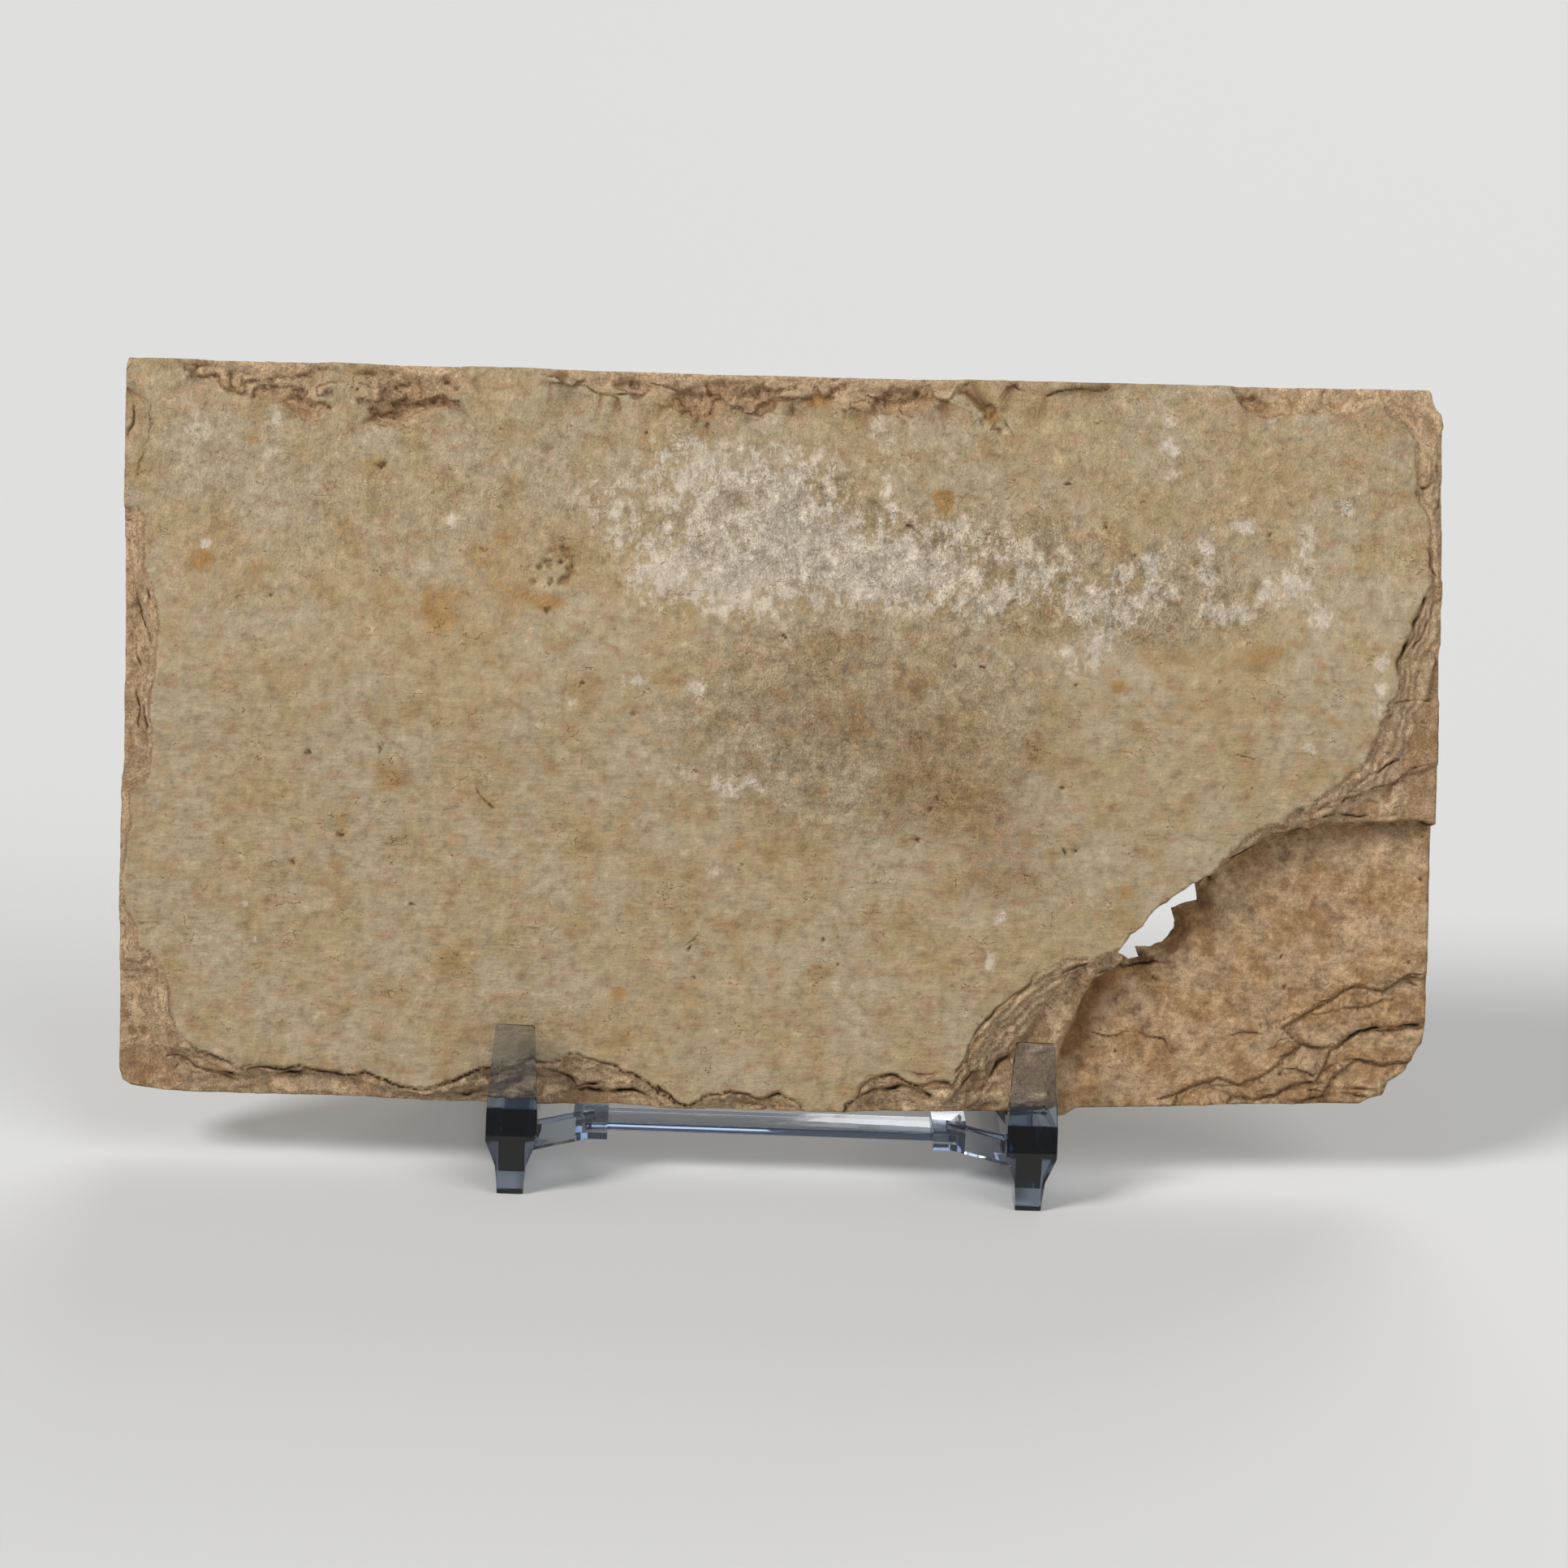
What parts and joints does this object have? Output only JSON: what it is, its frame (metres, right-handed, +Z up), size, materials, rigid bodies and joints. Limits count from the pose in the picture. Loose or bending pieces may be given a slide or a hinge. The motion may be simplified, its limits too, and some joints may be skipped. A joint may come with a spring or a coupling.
{
  "type": "fossil fish plate on easel",
  "caption": "Sawn limestone fossil plate leaning on a clear plastic easel, its plain spalled side to the front and a fish skeleton in low relief behind",
  "frame": {"origin": "middle of the bounding box, on the surface that the easel's feet stand on", "axes": "+X to the right as seen from the front, where the plain side of the plate shows; +Y to the back, where the fish is; +Z up"},
  "size_m": [0.3072, 0.0918, 0.1849],
  "materials": {
    "limestone": "matt, rough, mottled buff and grey",
    "fossil_bone": "dark brown, slightly waxy",
    "clear_plastic": "clear, moulded, glossy"
  },
  "bodies": {
    "root": {"slab": "limestone", "fish": "fossil_bone", "easel_side_left": "clear_plastic", "easel_side_right": "clear_plastic", "easel_crossbar": "clear_plastic"}
  },
  "joints": []
}
